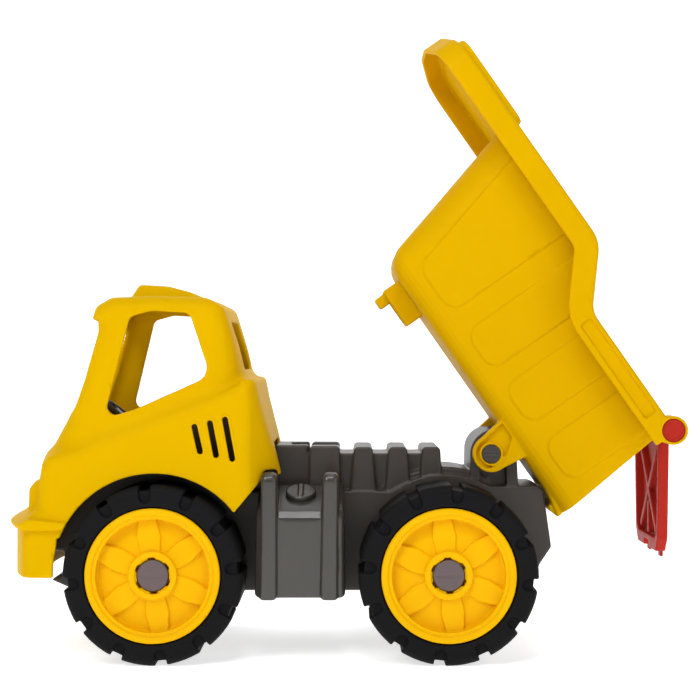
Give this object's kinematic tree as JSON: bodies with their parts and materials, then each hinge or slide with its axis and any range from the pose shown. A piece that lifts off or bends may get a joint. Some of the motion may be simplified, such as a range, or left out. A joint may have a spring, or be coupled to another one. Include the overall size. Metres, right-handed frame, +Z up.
{
  "type": "toy tipper truck",
  "caption": "Toy tipper truck with an open cab, wide treaded wheels, side tanks, a hinged load bed with a canopy, and a swinging tailgate.",
  "frame": {"origin": "on the ground, under the middle of the truck's box with the bed tipped up", "axes": "+X towards the rear of the truck, +Y towards its right side, +Z up"},
  "size_m": [0.3868, 0.153, 0.3586],
  "materials": {
    "cab_yellow": "satin",
    "bed_yellow": "satin",
    "rim_yellow": "satin",
    "frame_grey": "satin",
    "pin_grey": "satin",
    "tyre_black": "matte",
    "gate_red": "satin"
  },
  "bodies": {
    "truck_frame": {"chassis": "frame_grey", "cab_shell": "cab_yellow", "cab_interior": "frame_grey", "steering_wheel": "frame_grey", "side_tank_left": "frame_grey", "side_tank_right": "frame_grey", "filler_cap_left": "frame_grey", "filler_cap_right": "frame_grey", "front_axle": "pin_grey", "rear_axle": "pin_grey", "bed_pivot_pin": "frame_grey"},
    "tipping_bed": {"dump_bed": "bed_yellow"},
    "gate": {"tailgate": "gate_red"},
    "wheel_front_left": {"hub_front_left": "rim_yellow", "tyre_front_left": "tyre_black"},
    "wheel_front_right": {"hub_front_right": "rim_yellow", "tyre_front_right": "tyre_black"},
    "wheel_rear_left": {"hub_rear_left": "rim_yellow", "tyre_rear_left": "tyre_black"},
    "wheel_rear_right": {"hub_rear_right": "rim_yellow", "tyre_rear_right": "tyre_black"}
  },
  "joints": [
    {"name": "bed_tip", "type": "hinge", "parent": "truck_frame", "child": "tipping_bed", "pos_m": [0.0854, 0, 0.115], "axis": [0, -1, 0], "range_deg": [0, 55]},
    {"name": "tailgate_swing", "type": "hinge", "parent": "tipping_bed", "child": "gate", "pos_m": [0.18527, 0, 0.12963], "axis": [0, 1, 0], "range_deg": [-75, 49.2]},
    {"name": "spin_front_left", "type": "hinge", "parent": "truck_frame", "child": "wheel_front_left", "pos_m": [-0.1048, 0, 0.05], "axis": [0, 1, 0], "continuous": true},
    {"name": "spin_front_right", "type": "hinge", "parent": "truck_frame", "child": "wheel_front_right", "pos_m": [-0.1048, 0, 0.05], "axis": [0, 1, 0], "continuous": true},
    {"name": "spin_rear_left", "type": "hinge", "parent": "truck_frame", "child": "wheel_rear_left", "pos_m": [0.0588, 0, 0.05], "axis": [0, 1, 0], "continuous": true},
    {"name": "spin_rear_right", "type": "hinge", "parent": "truck_frame", "child": "wheel_rear_right", "pos_m": [0.0588, 0, 0.05], "axis": [0, 1, 0], "continuous": true}
  ]
}
